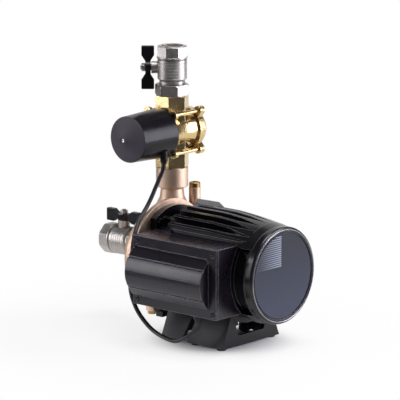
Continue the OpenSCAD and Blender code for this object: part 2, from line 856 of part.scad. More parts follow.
module base() {
  hollow_top = -fin_root_r - base_web;
  color(black_paint) at_axis() difference() {
    translate([base_x, 0, 0]) base_block(base_floor_z, base_top_z, 0);
    along_x(base_x - 1) cylinder(r = fin_root_r + 1, h = housing_x - base_x + 1.5);
    along_x(housing_x) housing_skin(slip_gap);
    translate([base_x, 0, 0]) base_block(base_floor_z - 1, hollow_top, base_wall);
    end_window();
    for (y = [-1, 1]) side_slot(y, hollow_top);
    base_screw_places() cylinder(r = base_screw_r + 0.8, h = axis_height - stator_r);
    foot_places() translate([0, 0, foot_h - eps]) cylinder(r = foot_stud_r, h = 5);
  }
  color(black_paint) at_axis() difference() {
    intersection() {
      foot_places() translate([0, 0, foot_h]) cylinder(r = foot_r + 1.5, h = 10);
      translate([base_x, 0, 0]) base_block(base_floor_z, hollow_top, base_wall / 2);
    }
    foot_places() translate([0, 0, foot_h - eps]) cylinder(r = foot_stud_r, h = 5);
  }
}

// Opening right through both ends of the base, over a cross-member and under the saddle
module end_window() {
  sill = base_floor_z + 14;
  lintel = base_top_z - 10;
  low_half = 27;
  high_half = 36;
  difference() {
    translate([base_x - 1, 0, 0]) rotate([90, 0, 90]) linear_extrude(base_len + 2)
      polygon([[-low_half, sill], [low_half, sill], [high_half, lintel], [-high_half, lintel]]);
    along_x(base_x - 2) cylinder(r = fin_root_r + base_web, h = base_len + 4);
  }
}

// Gap between the two legs on each side, leaning towards the pump
module side_slot(side, top) {
  gap_x = base_x + 46;
  inner = base_w / 4;
  rotate([90, 0, 0]) translate([0, 0, side > 0 ? -base_w : inner]) linear_extrude(base_w - inner)
    polygon([[gap_x - 9, base_floor_z - 1], [gap_x + 2, base_floor_z - 1], [gap_x + 6, top + 3],
             [gap_x - 1, top + 3]]);
}

module foot_places() {
  inset = foot_r + 2;
  for (x = [base_x + inset, base_x + 57, base_x + base_len - inset], y = [-1, 1])
    translate([x, y * (base_w / 2 - inset - 0.5), -axis_height]) children();
}

module rubber_feet() {
  color(rubber) at_axis() foot_places() {
    rotate_extrude()
      polygon([[0, 0], [foot_r - 1, 0], [foot_r, 1], [foot_r, foot_h], [0, foot_h]]);
    cylinder(r = foot_stud_r, h = foot_h + 4.5);
  }
}

module base_screws() {
  seat = fin_root_r + base_web - stator_r;
  color(steel) at_axis() base_screw_places() {
    translate([0, 0, 0.5]) cylinder(r = base_screw_r, h = seat);
    translate([0, 0, seat]) turned_prism(10, 6, 4, 0.5);
  }
}

// Flow switch

module at_discharge(z = 0) {
  translate([volute_x, discharge_offset, z]) children();
}

// Round flange with four ears that carry its screws
module flow_flange(y, t) {
  reach = norm([flow_screw_x, flow_screw_z]);
  translate([0, y, 0]) rotate([90, 0, 0]) translate([0, 0, -t]) linear_extrude(t) {
    circle(flow_flange_r);
    for (x = [-1, 1], z = [-1, 1])
      rotate(atan2(z * flow_screw_z, x * flow_screw_x)) {
        translate([0, -ear_r]) square([reach, 2 * ear_r]);
        translate([reach, 0]) circle(ear_r);
      }
  }
}

// Drum with a waist, turned about the Y axis
module flow_drum() {
  half = (flange_back - flange_front) / 2;
  bow = half * half / 2 / drum_flare + drum_flare / 2;
  waist = [for (i = [-5 : 5])
    let (y = i / 5 * half)
    [drum_r + bow - sqrt(bow * bow - y * y), y]];
  translate([0, (flange_back + flange_front) / 2, 0]) rotate([-90, 0, 0]) rotate_extrude()
    polygon(concat([[0, -half]], waist, [[0, half]]));
}

module flow_screw_places() {
  for (x = [-1, 1], z = [-1, 1])
    translate([x * flow_screw_x, 0, z * flow_screw_z]) rotate([90, 0, 0]) children();
}

module flow_body() {
  color(brass) at_axis() at_discharge(flow_z) difference() {
    union() {
      flow_flange(flange_front - flow_flange_t, flow_flange_t);
      flow_flange(flange_back - flow_flange_t, flow_flange_t);
      flow_drum();
      for (z = [0, 1])
        mirror([0, 0, z]) translate([0, 0, drum_r - stub_sink]) rotate(30)
          turned_prism(stub_w, 6, flow_h / 2 - drum_r + stub_sink, 1);
      flow_screw_places() translate([0, 0, -flange_back]) cylinder(r = 3.2, h = flange_back - flange_front);
      translate([0, 0, -flow_h / 2 - 10]) cylinder(r = joint_r - 0.02, h = 12);
    }
    towards_front(-flange_back - 1) cylinder(r = chamber_r, h = flange_back - flange_front - 3);
    translate([0, 0, -flow_h / 2 - 11]) cylinder(r = flow_bore_r - 2, h = flow_h / 2);
    cylinder(r = flow_bore_r, h = flow_h / 2 + 1);
    translate([0, 0, flow_h / 2 - port_len]) cylinder(r = joint_r, h = port_len + 1);
    flow_screw_places() translate([0, 0, -flange_back - 1]) cylinder(r = 2, h = 14);
    flow_screw_places() translate([0, 0, -flange_front - 6]) cylinder(r = 2, h = 14);
    towards_front(-flange_back - 0.01) cylinder(r = chamber_r + 3, h = 2);
    translate([0, 0, flap_z]) flap_pin_bar();
  }
}

module flow_o_ring() {
  color(rubber) at_axis() at_discharge(flow_z) towards_front(-flange_back + 0.98)
    rotate_extrude() translate([chamber_r + 1.5, 0]) circle(0.9, $fn = 20);
}

module flow_rear_cover() {
  color(brass) at_axis() at_discharge(flow_z) {
    difference() {
      union() {
        flow_flange(flange_back, 4);
        translate([0, flange_back, 0]) rotate([-90, 0, 0]) rotate_extrude()
          polygon([[0, 0], [dome_r, 0], [dome_r, rear_dome - 7], [dome_r - 2, rear_dome - 3.5],
                   [dome_r - 7, rear_dome - 1], [dome_r - 9, rear_dome], [0, rear_dome]]);
      }
      translate([0, flange_back - 1, 0]) rotate([-90, 0, 0]) cylinder(r = chamber_r - 2, h = 10);
      flow_screw_places() translate([0, 0, -flange_back - 10]) cylinder(r = 2.3, h = 20);
    }
  }
}

module flow_flange_screws() {
  color(steel) at_axis() at_discharge(flow_z) {
    flow_screw_places() rotate([180, 0, 0]) translate([0, 0, flange_back + 4]) {
      cap_screw(2, 13, 3.6, 3.4);
    }
  }
}

module flow_cover() {
  start = -flange_front + flow_flange_t;
  cone_h = 11;
  wall = 2.5;
  color(dark_plastic) at_axis() at_discharge(flow_z) towards_front(start) difference() {
    union() {
      rotate_extrude()
        polygon([[cover_r - wall, 0], [cover_r, 0], [cover_front_r, cover_len - 1.5],
                 [cover_front_r - 1.5, cover_len], [0, cover_len + cone_h], [0, cover_len + cone_h - wall],
                 [cover_front_r - 3, cover_len - wall], [cover_r - wall, 1]]);
      translate([0, 0, cover_len - 10]) cylinder(r = 5, h = 10 + cone_h - 3);
    }
    translate([0, 0, cover_len + cone_h - 5]) cylinder(r = 3.4, h = 20);
    translate([0, 0, cover_len - 12]) cylinder(r = 1.8, h = 40);
    translate([relief_x, relief_top, relief_depth]) rotate([90, 0, 0]) cylinder(r = relief_r, h = 60);
  }
}

// The strain relief stands in the lower side of the cover
relief_r = 5;
relief_depth = 21;
relief_x = 26;
relief_top = -19;
relief_len = 18;

module flow_cover_screw() {
  color(steel) at_axis() at_discharge(flow_z) towards_front(-flange_front + flow_flange_t + cover_len + 6)
    difference() {
      union() {
        cylinder(r = 3, h = 2.6);
        translate([0, 0, -16]) cylinder(r = 1.7, h = 16 + eps);
      }
      translate([-3, -0.5, 1.6]) cube([6, 1, 2]);
    }
}

// Flap that lies across the flow; its eye turns on the pin at the back of the chamber
module flow_flap() {
  lug_r = 3.2;
  color(dark_plastic) at_axis() at_discharge(flow_z + flap_z) difference() {
    union() {
      cylinder(r = flap_r - 1, h = 2.4);
      translate([-4, 4, 0]) cube([8, flap_pin_y - 6, 2.4]);
      translate([-4, flap_pin_y, 0.4]) rotate([0, 90, 0]) cylinder(r = lug_r, h = 8);
      translate([-3, -flap_r + 2, 2.4 - eps]) cube([6, 5, 5]);
    }
    translate([-5, flap_pin_y, 0.4]) rotate([0, 90, 0]) cylinder(r = flap_pin_r + running_gap, h = 10);
  }
}

// The pin's ends sit in the walls of the chamber
module flap_pin_bar() {
  reach = sqrt(pow(chamber_r, 2) - pow(flap_z, 2)) + 2.5;
  translate([-reach, flap_pin_y, 0.4]) rotate([0, 90, 0]) cylinder(r = flap_pin_r, h = 2 * reach);
}

module flap_pin() {
  color(steel) at_axis() at_discharge(flow_z + flap_z) flap_pin_bar();
}

module sensor_board() {
  stand = -flange_front + flow_flange_t;
  color("#2f6b46") at_axis() at_discharge(flow_z) towards_front(stand) {
    translate([-18, -14, 8]) cube([36, 28, 1.6]);
    for (x = [-14, 14], y = [-10, 10]) translate([x, y, 0]) cylinder(r = 2, h = 8 + eps);
    translate([-6, -4, 9.6 - eps]) cube([14, 10, 8]);
    translate([-12, -12, 9.6 - eps]) cube([7, 9, 6]);
  }
}

module strain_relief() {
  color(dark_plastic) at_axis() at_discharge(flow_z)
    translate([relief_x, flange_front - flow_flange_t - relief_depth, relief_top]) rotate([180, 0, 0])
      difference() {
        rotate_extrude()
          polygon([[0, 0], [relief_r, 0], [relief_r, relief_len - 5], [relief_r - 0.7, relief_len - 1.5],
                   [cord_r + 0.9, relief_len], [0, relief_len]]);
        translate([0, 0, 3]) cylinder(r = cord_r + 0.05, h = relief_len);
      }
}

// Cord from the flow switch to the gland under the terminal box
cord_route = [
  [-2, -14.5, 144], [-2, -14.5, 137], [-2, -14.5, 129.5], [-3, -16, 120.5], [-5, -19, 112], [-7, -25, 99.5],
  [-7.5, -33, 86.5], [-7, -43, 74.5], [-4.5, -55, 65.5], [-1, -67, 57.5], [4, -78, 49], [7, -86, 39],
  [7, -89, 24], [5, -90, 4], [3, -90, -14.5], [3.5, -90, -33], [8.5, -90, -49.5], [20, -90, -67],
  [40.5, -90, -83.5], [63, -91, -91.5], [85, -90.5, -94.5], [101, -88, -88.5], [111.5, -83, -80],
  [116.5, -79, -71.5], [117.5, -78, -65], [117.5, -78, -57], [117.5, -78, -48]
];

// Smooth curve through the route's points
function spline(p, t) =
  let (n = len(p), i = min(floor(t), n - 2), u = t - i,
       a = p[max(i - 1, 0)], b = p[i], c = p[i + 1], d = p[min(i + 2, n - 1)])
  0.5 * (2 * b + (c - a) * u + (2 * a - 5 * b + 4 * c - d) * u * u + (3 * b - 3 * c + d - a) * u * u * u);

module cord_tube(points, r, sides) {
  n = len(points);
  function unit(v) = v / norm(v);
  function heading(i) = unit(points[min(i + 1, n - 1)] - points[max(i - 1, 0)]);
  function across(h) = unit(cross(h, [1, 0.35, 0]));
  rings = [for (i = [0 : n - 1], s = [0 : sides - 1])
    let (h = heading(i), u = across(h), v = cross(h, u), a = s * 360 / sides)
    points[i] + r * (cos(a) * u + sin(a) * v)];
  polyhedron(rings, concat(
    [[for (s = [sides - 1 : -1 : 0]) s]],
    [for (i = [0 : n - 2], s = [0 : sides - 1])
      let (t = (s + 1) % sides)
      [i * sides + s, i * sides + t, (i + 1) * sides + t, (i + 1) * sides + s]],
    [[for (s = [0 : sides - 1]) (n - 1) * sides + s]]), convexity = 10);
}

module flow_cord() {
  steps = 2;
  points = [for (i = [0 : (len(cord_route) - 1) * steps]) spline(cord_route, i / steps)];
  color(rubber) at_axis() cord_tube(points, cord_r, 10);
}

// Ball valve, drawn with its port face at z = 0, its mouth up and its stem towards +Y

module valve_body() {
  end_len = 15.5;
  neck_end = valve_len - end_len;
  shoulder = nut_len + 2;
  difference() {
    union() {
      translate([0, 0, neck_end]) turned_prism(valve_end_w, 8, end_len - 1, 1);
      translate([0, 0, valve_len - 2]) cylinder(r = port_r + 3, h = 2);
      rotate_extrude()
        polygon([[0, body_low], [union_r, body_low], [union_r, shoulder], [valve_ball_r, shoulder + 2.5],
                 [valve_ball_r, neck_end - 4], [valve_ball_r - 1.2, neck_end - 3.2],
                 [valve_ball_r + 1, neck_end - 2], [valve_ball_r + 1, neck_end], [0, neck_end]]);
      translate([0, 0, ball_z]) rotate([-90, 0, 0]) cylinder(r = stem_r + 4, h = stem_boss_end);
    }
    translate([0, 0, body_low - 1]) cylinder(r = ball_bore_r, h = valve_len);
    translate([0, 0, ball_z]) sphere(r = ball_r + free_gap / 2);
    translate([0, 0, ball_z - ball_r]) cylinder(r = seat_r + slip_gap, h = 2 * ball_r);
    translate([0, 0, valve_len - port_len]) cylinder(r = port_r, h = port_len + 1);
    translate([0, 0, ball_z]) rotate([-90, 0, 0]) cylinder(r = stem_r + running_gap, h = 60);
  }
}

// Seats of the ball, and the flat end of the stem in the ball's slot
seat_r = ball_r - 0.4;
seat_len = 4;
seat_offset = ball_r - 4.4;
stem_tang = 4;
tang_start = ball_r - 4.5;

module valve_ball() {
  slot_side = 0.2;
  difference() {
    translate([0, 0, ball_z]) sphere(r = ball_r);
    translate([0, 0, ball_z - 2 * ball_r]) cylinder(r = ball_bore_r, h = 4 * ball_r);
    translate([-stem_tang / 2 - slot_side, tang_start - 0.5, ball_z - ball_r])
      cube([stem_tang + 2 * slot_side, ball_r, 2 * ball_r]);
  }
}

module valve_seats() {
  for (m = [0, 1])
    translate([0, 0, ball_z]) mirror([0, 0, m]) difference() {
      translate([0, 0, seat_offset]) ring(seat_r, ball_bore_r, seat_len);
      sphere(r = ball_r + running_gap);
    }
}

module valve_stem() {
  start = ball_r + free_gap;
  translate([0, 0, ball_z]) rotate([-90, 0, 0]) {
    translate([0, 0, start]) cylinder(r = stem_r, h = hub_start + hub_len - start);
    translate([0, 0, hub_start]) cylinder(r = stud_r, h = hub_len + 7);
    intersection() {
      translate([-stem_tang / 2, -stem_r, tang_start]) cube([stem_tang, 2 * stem_r, start - tang_start + 1]);
      cylinder(r = stem_r, h = 2 * ball_r);
    }
  }
}

module wing(side) {
  inner = 7;
  tip = handle_len / 2;
  span = nut_w / 2 / cos(30) + free_gap;
  translate([-3.2, 0, ball_z]) rotate([90, 0, 90]) linear_extrude(6.4)
    polygon([[hub_start, side * (inner - 4)], [hub_start + hub_len, side * (inner - 4)],
             [hub_start + hub_len, side * (inner + 2)], [hub_start + hub_len + 5.5, side * (tip - 13)],
             [hub_start + hub_len + 5.5, side * (tip - 1)], [hub_start + hub_len + 4.5, side * tip],
             [span + 1, side * tip], [span, side * (tip - 1)], [span, side * (tip - 13)],
             [hub_start, side * (inner + 3)]]);
}

module valve_handle() {
  difference() {
    union() {
      translate([0, 0, ball_z]) rotate([-90, 0, 0]) translate([0, 0, hub_start])
        cylinder(r = 9, h = hub_len);
      wing(1);
      wing(-1);
    }
    translate([0, 0, ball_z]) rotate([-90, 0, 0]) cylinder(r = stem_r, h = 60);
  }
}

module valve_handle_nut() {
  translate([0, 0, ball_z]) rotate([-90, 0, 0]) translate([0, 0, hub_start + hub_len]) difference() {
    turned_prism(10, 6, 5.5, 0.7);
    translate([0, 0, -eps]) cylinder(r = stud_r, h = 6);
  }
}

// The nut's inner lip draws the tailpiece's collar against the valve body
lip_len = 6;

module valve_union_nut() {
  difference() {
    turned_prism(nut_w, 6, nut_len - 3.2, 2);
    translate([0, 0, -1]) cylinder(r = tail_r + slip_gap, h = lip_len + 2);
    translate([0, 0, lip_len]) cylinder(r = union_r + 2 * slip_gap, h = nut_len);
  }
}

module valve_tailpiece() {
  difference() {
    union() {
      translate([0, 0, -9]) cylinder(r = joint_r - 0.02, h = 10);
      cylinder(r = tail_r, h = lip_len + 2);
      translate([0, 0, lip_len]) cylinder(r = union_r, h = body_low - lip_len);
    }
    translate([0, 0, -13]) cylinder(r = port_r - 3.4, h = body_low + 14);
  }
}

// The outlet valve stands on the flow switch, the inlet valve lies on the motor axis
module at_outlet() {
  at_axis() at_discharge(flow_top) rotate(90 + outlet_turn) children();
}

module at_inlet() {
  at_axis() translate([suction_x, 0, suction_rise]) rotate([0, -90, 0]) rotate(-90) children();
}

module outlet_valve_body() { color(nickel) at_outlet() valve_body(); }
module outlet_ball() { color(steel) at_outlet() valve_ball(); }
module outlet_ball_seats() { color("white") at_outlet() valve_seats(); }
module outlet_stem() { color(nickel) at_outlet() valve_stem(); }
module outlet_handle() { color(dark_plastic) at_outlet() valve_handle(); }
module outlet_handle_nut() { color(nickel) at_outlet() valve_handle_nut(); }
module outlet_union_nut() { color(nickel) at_outlet() rotate(-11) valve_union_nut(); }
module outlet_tailpiece() { color(nickel) at_outlet() valve_tailpiece(); }
module inlet_valve_body() { color(nickel) at_inlet() valve_body(); }
module inlet_ball() { color(steel) at_inlet() valve_ball(); }
module inlet_ball_seats() { color("white") at_inlet() valve_seats(); }
module inlet_stem() { color(nickel) at_inlet() valve_stem(); }
module inlet_handle() { color(dark_plastic) at_inlet() valve_handle(); }
module inlet_handle_nut() { color(nickel) at_inlet() valve_handle_nut(); }
module inlet_union_nut() { color(nickel) at_inlet() valve_union_nut(); }
module inlet_tailpiece() { color(nickel) at_inlet() valve_tailpiece(); }

motor_housing();
motor_bracket();
bearing_plate();
end_cap();
label_disc();
stator_core();
stator_windings();
rotor_can();
rotor_core();
shaft();
front_bearing();
rear_bearing();
pump_casing();
casing_o_ring();
casing_bolts();
impeller();
impeller_nut();
priming_plug();
drain_plug();
terminal_box();
terminal_gasket();
terminal_cover();
cover_screws();
terminal_block();
capacitor();
capacitor_clip();
cord_gland();
supply_gland();
base();
rubber_feet();
base_screws();
flow_body();
flow_rear_cover();
flow_flange_screws();
flow_cover();
flow_cover_screw();
flow_flap();
flap_pin();
sensor_board();
strain_relief();
flow_cord();
flow_o_ring();
outlet_valve_body();
outlet_ball();
outlet_ball_seats();
outlet_stem();
outlet_handle();
outlet_handle_nut();
outlet_union_nut();
outlet_tailpiece();
inlet_valve_body();
inlet_ball();
inlet_ball_seats();
inlet_stem();
inlet_handle();
inlet_handle_nut();
inlet_union_nut();
inlet_tailpiece();
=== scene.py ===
# Booster pump with a flow switch and two union ball valves, dressed over its CAD frame.
# Lengths in metres, +Z up, motor axis along X, terminal box at -Y.
import math

import bmesh
import bpy
from mathutils import Matrix, Vector


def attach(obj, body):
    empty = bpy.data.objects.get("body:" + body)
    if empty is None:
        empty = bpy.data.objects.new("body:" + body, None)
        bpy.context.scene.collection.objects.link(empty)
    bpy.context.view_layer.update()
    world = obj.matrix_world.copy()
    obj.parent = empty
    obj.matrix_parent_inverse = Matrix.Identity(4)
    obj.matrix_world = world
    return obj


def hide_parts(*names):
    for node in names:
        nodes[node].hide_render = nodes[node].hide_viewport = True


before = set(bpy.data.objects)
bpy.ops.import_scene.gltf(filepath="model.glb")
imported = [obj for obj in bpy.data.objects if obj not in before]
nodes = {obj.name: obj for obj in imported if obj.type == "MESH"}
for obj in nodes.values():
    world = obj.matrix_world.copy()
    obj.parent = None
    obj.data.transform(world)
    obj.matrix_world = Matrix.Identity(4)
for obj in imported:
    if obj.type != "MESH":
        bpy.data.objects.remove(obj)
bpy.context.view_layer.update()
scene = bpy.context.scene
print("frame loaded:", len(nodes), "nodes")


# Small helpers

pumpOrigin = Vector((-0.041, 0.017, 0.106))   # the motor axis above the discharge's foot


def atPump(x, y, z):
    return Vector((x, y, z)) / 1000 + pumpOrigin


def linear(hexText):
    parts = [int(hexText[i:i + 2], 16) / 255 for i in (1, 3, 5)]
    return tuple(c / 12.92 if c <= 0.04045 else ((c + 0.055) / 1.055) ** 2.4 for c in parts) + (1.0,)


def addNode(tree, kind, links=None, values=None, **settings):
    node = tree.nodes.new(kind)
    for name, value in settings.items():
        setattr(node, name, value)
    for name, value in (values or {}).items():
        node.inputs[name].default_value = value
    for name, source in (links or {}).items():
        tree.links.new(source, node.inputs[name])
    return node


def addPiece(name, mesh, body, material=None):
    piece = bpy.data.objects.new(name, mesh)
    scene.collection.objects.link(piece)
    if material:
        piece.data.materials.clear()
        piece.data.materials.append(material)
    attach(piece, body)
    return piece


# Camera, at the photograph's angle and distance

cameraView = {
    "azimuth": 48.1,       # degrees that the motor axis is turned away from the view
    "elevation": 13.0,
    "distance": 4.76,
    "focalPixels": 3400,   # focal length in pixels of a 400 pixel wide frame
    "axisPixel": (172.0, 253.4),   # where the discharge's foot on the motor axis shows
}


def makeCamera(view):
    turn = math.radians(view["azimuth"])
    tilt = math.radians(view["elevation"])
    right = Vector((math.sin(turn), math.cos(turn), 0))
    towards = Vector((math.cos(turn) * math.cos(tilt), -math.sin(turn) * math.cos(tilt), math.sin(tilt)))
    up = towards.cross(right)
    eye = pumpOrigin + towards * view["distance"]
    aside = (200 - view["axisPixel"][0]) / view["focalPixels"]
    above = (view["axisPixel"][1] - 200) / view["focalPixels"]
    aim = (-towards + right * aside + up * above).normalized()
    side = aim.cross(up).normalized()
    camera = bpy.data.objects.new("camera", bpy.data.cameras.new("camera"))
    scene.collection.objects.link(camera)
    turned = Matrix((side, side.cross(aim), -aim)).transposed()
    camera.matrix_world = Matrix.Translation(eye) @ turned.to_4x4()
    camera.data.sensor_width = 36
    camera.data.lens = view["focalPixels"] * 36 / 400
    camera.data.clip_end = 30
    scene.camera = camera


makeCamera(cameraView)
print("camera placed")


# Finishes

finishes = {
    # Powder coat over cast aluminium: deep black with a faint orange peel, with sharp edges painted paler as
    # a highlight along them and as wear
    "powderCoatedAluminium": {
        "colours": ("#0e0c10", "#151318"), "patch": 45, "edge": "#8b8791", "edgeAmount": 0.7,
        "metallic": 0.0, "roughness": (0.17, 0.25), "specular": 0.36, "grain": 1.8, "depth": 0.02,
        "bevel": 1.0, "dirtAndShade": ("#0b0a0c", 14, 0.7),
    },
    # Stoved paint on the cast base: darker and flatter than the housing's coat
    "stovedPaint": {
        "colours": ("#0b0a0d", "#121015"), "patch": 30, "edge": "#5d5962", "edgeAmount": 0.6,
        "metallic": 0.0, "roughness": (0.38, 0.48), "specular": 0.28, "grain": 1.6, "depth": 0.05,
        "bevel": 1.0, "dirtAndShade": ("#080709", 14, 0.8),
    },
    # ABS from a spark-eroded mould: even satin black with a fine pebbled grain
    "mouldedAbs": {
        "colours": ("#1a161f", "#231e28"), "patch": 60, "edge": "#b0acb8", "edgeAmount": 0.75,
        "metallic": 0.0, "roughness": (0.24, 0.32), "specular": 0.44, "grain": 1.0, "depth": 0.02,
        "bevel": 1.3, "dirtAndShade": ("#0c0b0d", 8, 0.7),
    },
    # Glass-filled nylon of the flow switch cover: smoother, with a bluish black
    "mouldedNylon": {
        "colours": ("#100e13", "#161419"), "patch": 30, "edge": "#4a474e", "edgeAmount": 0.4,
        "metallic": 0.0, "roughness": (0.28, 0.35), "specular": 0.32, "grain": 0.8, "depth": 0.02,
        "bevel": 0.8, "dirtAndShade": ("#0c0b0d", 6, 0.6),
    },
    # The same nylon on the cover: its front is duller than the side and painted grey, a painted sheen of the
    # light falling on it
    "nylonLitFront": {
        "colours": ("#0f0d12", "#151318"), "patch": 30, "edge": "#6a666e", "edgeAmount": 0.5,
        "metallic": 0.0, "roughness": (0.26, 0.32), "specular": 0.22, "grain": 0.8, "depth": 0.02,
        "bevel": 0.8, "dirtAndShade": ("#0c0b0d", 6, 0.6), "zone": ("Y", "#5a555f", -0.0436, -0.0426, 0.6),
    },
    # Dipped vinyl on the butterfly handles: soft, almost glossy, with a lumpy skin
    "dippedVinyl": {
        "colours": ("#130f12", "#1c171a"), "patch": 8, "edge": "#383338", "edgeAmount": 0.3,
        "metallic": 0.0, "roughness": (0.25, 0.36), "specular": 0.35, "grain": 3.0, "depth": 0.09,
        "bevel": 1.4,
    },
    # Sand-cast bronze, blasted: pale pinkish tan with a fine sandy skin, brown in the corners as tarnish and
    # painted shade
    "castBronze": {
        "colours": ("#d8b79f", "#ebd1bb"), "patch": 16, "edge": "#f6e6d6", "edgeAmount": 0.5,
        "metallic": 1.0, "roughness": (0.46, 0.60), "specular": 0.5, "grain": 1.1, "depth": 0.09,
        "bevel": 1.2, "dirtAndShade": ("#5f4536", 12, 0.75),
    },
    # Die-cast brass, tumbled bright: champagne gold over a slightly wavy skin, olive in the corners as
    # tarnish and painted shade
    "polishedBrass": {
        "colours": ("#cdaf78", "#e2cb99"), "patch": 20, "edge": "#fdf4d2", "edgeAmount": 0.6,
        "metallic": 1.0, "roughness": (0.17, 0.29), "specular": 0.5, "grain": 6.0, "depth": 0.16,
        "bevel": 1.0, "dirtAndShade": ("#4f3a12", 9, 0.7),
    },
    # Brass of the small plugs, handled and dull
    "dullBrass": {
        "colours": ("#9c7d45", "#b39258"), "patch": 6, "edge": "#e2cd94", "edgeAmount": 0.5,
        "metallic": 1.0, "roughness": (0.26, 0.40), "specular": 0.5, "grain": 1.2, "depth": 0.06,
        "bevel": 0.7, "dirtAndShade": ("#3f3015", 6, 0.8),
    },
    # Nickel plating on hot-pressed brass: warm grey, satin where the blank was blasted
    "nickelPlatedBrass": {
        "colours": ("#aaa5a1", "#c6c1bd"), "patch": 9, "edge": "#f6f3f0", "edgeAmount": 0.65,
        "metallic": 1.0, "roughness": (0.36, 0.52), "specular": 0.5, "grain": 2.4, "depth": 0.10,
        "bevel": 0.9, "dirtAndShade": ("#4a4542", 7, 0.75),
    },
    # Zinc-plated steel of the screws
    "zincPlatedSteel": {
        "colours": ("#a9aaad", "#c4c5c8"), "patch": 3, "edge": "#e2e2e4", "edgeAmount": 0.5,
        "metallic": 1.0, "roughness": (0.22, 0.34), "specular": 0.5, "grain": 0.6, "depth": 0.02,
        "bevel": 0.25,
    },
    # Black-oxide steel of the motor's screws
    "blackOxideSteel": {
        "colours": ("#1f1d22", "#2a282d"), "patch": 3, "edge": "#c5c2c8", "edgeAmount": 0.7,
        "metallic": 0.8, "roughness": (0.28, 0.40), "specular": 0.5, "grain": 0.6, "depth": 0.02,
        "bevel": 0.3,
    },
    # Printed polyester film on the end cap: slate grey, smooth, with a low gloss, painted darker towards the
    # top as shade
    "polyesterFilm": {
        "colours": ("#1e212c", "#242836"), "patch": 90, "edge": "#6f7688", "edgeAmount": 0.4,
        "metallic": 0.0, "roughness": (0.30, 0.36), "specular": 0.24, "grain": 6.0, "depth": 0.01,
        "bevel": 0.3, "zone": ("Z", "#3c4152", 0.062, 0.150, 0.32),
    },
    # Bright metal of the ring over the label's bead, standing in as a painted highlight along the bead's edge
    "highlightRingMetal": {
        "colours": ("#a9aab0", "#bfc0c6"), "patch": 20, "edge": "#e4e4e8", "edgeAmount": 0.2,
        "metallic": 1.0, "roughness": (0.22, 0.30), "specular": 0.5, "grain": 0.8, "depth": 0.01,
        "bevel": 0.1,
    },
    # Pale screen ink of the stripes, which fades towards the disc's edge
    "paleInk": {
        "colours": ("#9aa3b4", "#a9b2c1"), "patch": 25, "edge": "#a9b2c1", "edgeAmount": 0.0,
        "metallic": 0.0, "roughness": (0.33, 0.38), "specular": 0.4, "grain": 3.0, "depth": 0.0,
        "bevel": 0.05, "zone": ("Y", "#2f3342", -0.030, 0.013, 0.36),
    },
    # Soft PVC sheath of the cord: dark grey with a faint drawn grain
    "pvcSheath": {
        "colours": ("#222024", "#2c2a2f"), "patch": 12, "edge": "#353338", "edgeAmount": 0.0,
        "metallic": 0.0, "roughness": (0.38, 0.48), "specular": 0.5, "grain": 0.7, "depth": 0.02,
        "bevel": 0.1,
    },
    # Moulded rubber of the feet and seals: dull black with a fine skin
    "mouldedRubber": {
        "colours": ("#161517", "#201f21"), "patch": 10, "edge": "#2c2b2e", "edgeAmount": 0.3,
        "metallic": 0.0, "roughness": (0.6, 0.75), "specular": 0.4, "grain": 0.8, "depth": 0.04,
        "bevel": 0.4,
    },
    # Stacked electrical steel, rough ground
    "laminatedSteel": {
        "colours": ("#7d7f82", "#8f9194"), "patch": 1, "edge": "#a6a8ab", "edgeAmount": 0.3,
        "metallic": 1.0, "roughness": (0.38, 0.5), "specular": 0.5, "grain": 0.5, "depth": 0.05,
        "bevel": 0.2,
    },
    # Turned stainless steel: bright and cool, with fine tool marks
    "turnedStainless": {
        "colours": ("#a3a5a8", "#b9bbbe"), "patch": 6, "edge": "#dcdcde", "edgeAmount": 0.4,
        "metallic": 1.0, "roughness": (0.18, 0.28), "specular": 0.5, "grain": 0.5, "depth": 0.02,
        "bevel": 0.4,
    },
    # Enamelled copper wire: dark reddish lacquer over metal
    "enamelledCopper": {
        "colours": ("#8c4a26", "#b06a3c"), "patch": 2, "edge": "#c98a5c", "edgeAmount": 0.2,
        "metallic": 0.9, "roughness": (0.3, 0.4), "specular": 0.5, "grain": 0.8, "depth": 0.15,
        "bevel": 0.5,
    },
    # Pressed graphite of the bearings: dark grey with a slight sheen
    "pressedGraphite": {
        "colours": ("#242426", "#303033"), "patch": 3, "edge": "#4a4a4e", "edgeAmount": 0.3,
        "metallic": 0.2, "roughness": (0.4, 0.55), "specular": 0.5, "grain": 0.4, "depth": 0.02,
        "bevel": 0.3,
    },
    # Plain nylon: warm white, satin
    "whiteNylon": {
        "colours": ("#d4d0c6", "#dedbd2"), "patch": 10, "edge": "#e6e3db", "edgeAmount": 0.3,
        "metallic": 0.0, "roughness": (0.4, 0.5), "specular": 0.5, "grain": 0.8, "depth": 0.02,
        "bevel": 0.4,
    },
    # Glass-fibre board under green lacquer
    "glassFibreBoard": {
        "colours": ("#1f5a38", "#2f6b46"), "patch": 4, "edge": "#8aa08f", "edgeAmount": 0.3,
        "metallic": 0.0, "roughness": (0.35, 0.45), "specular": 0.5, "grain": 0.6, "depth": 0.03,
        "bevel": 0.2,
    },
}


edgeAndCornerSpans = {   # where a finish shows pale edges, as painted highlight and wear, and dark corners, as painted shade, dirt and tarnish
    "sharp": (0.985, 0.8),      # how far the bevelled normal leans, from no pale edge to full painted highlight and wear
    "closed": (1.35, 0.75),     # openness plus patch, from none to full painted shade and dirt
    "patchSpan": (0.3, 0.7),    # patch values that give the lowest and the highest roughness
}


def mixColours(tree, factor, first, second):
    links = {0: factor}
    values = {}
    for slot, colour in ((6, first), (7, second)):
        if isinstance(colour, str):
            values[slot] = linear(colour)
        else:
            links[slot] = colour
    return addNode(tree, "ShaderNodeMix", links, values, data_type="RGBA").outputs[2]


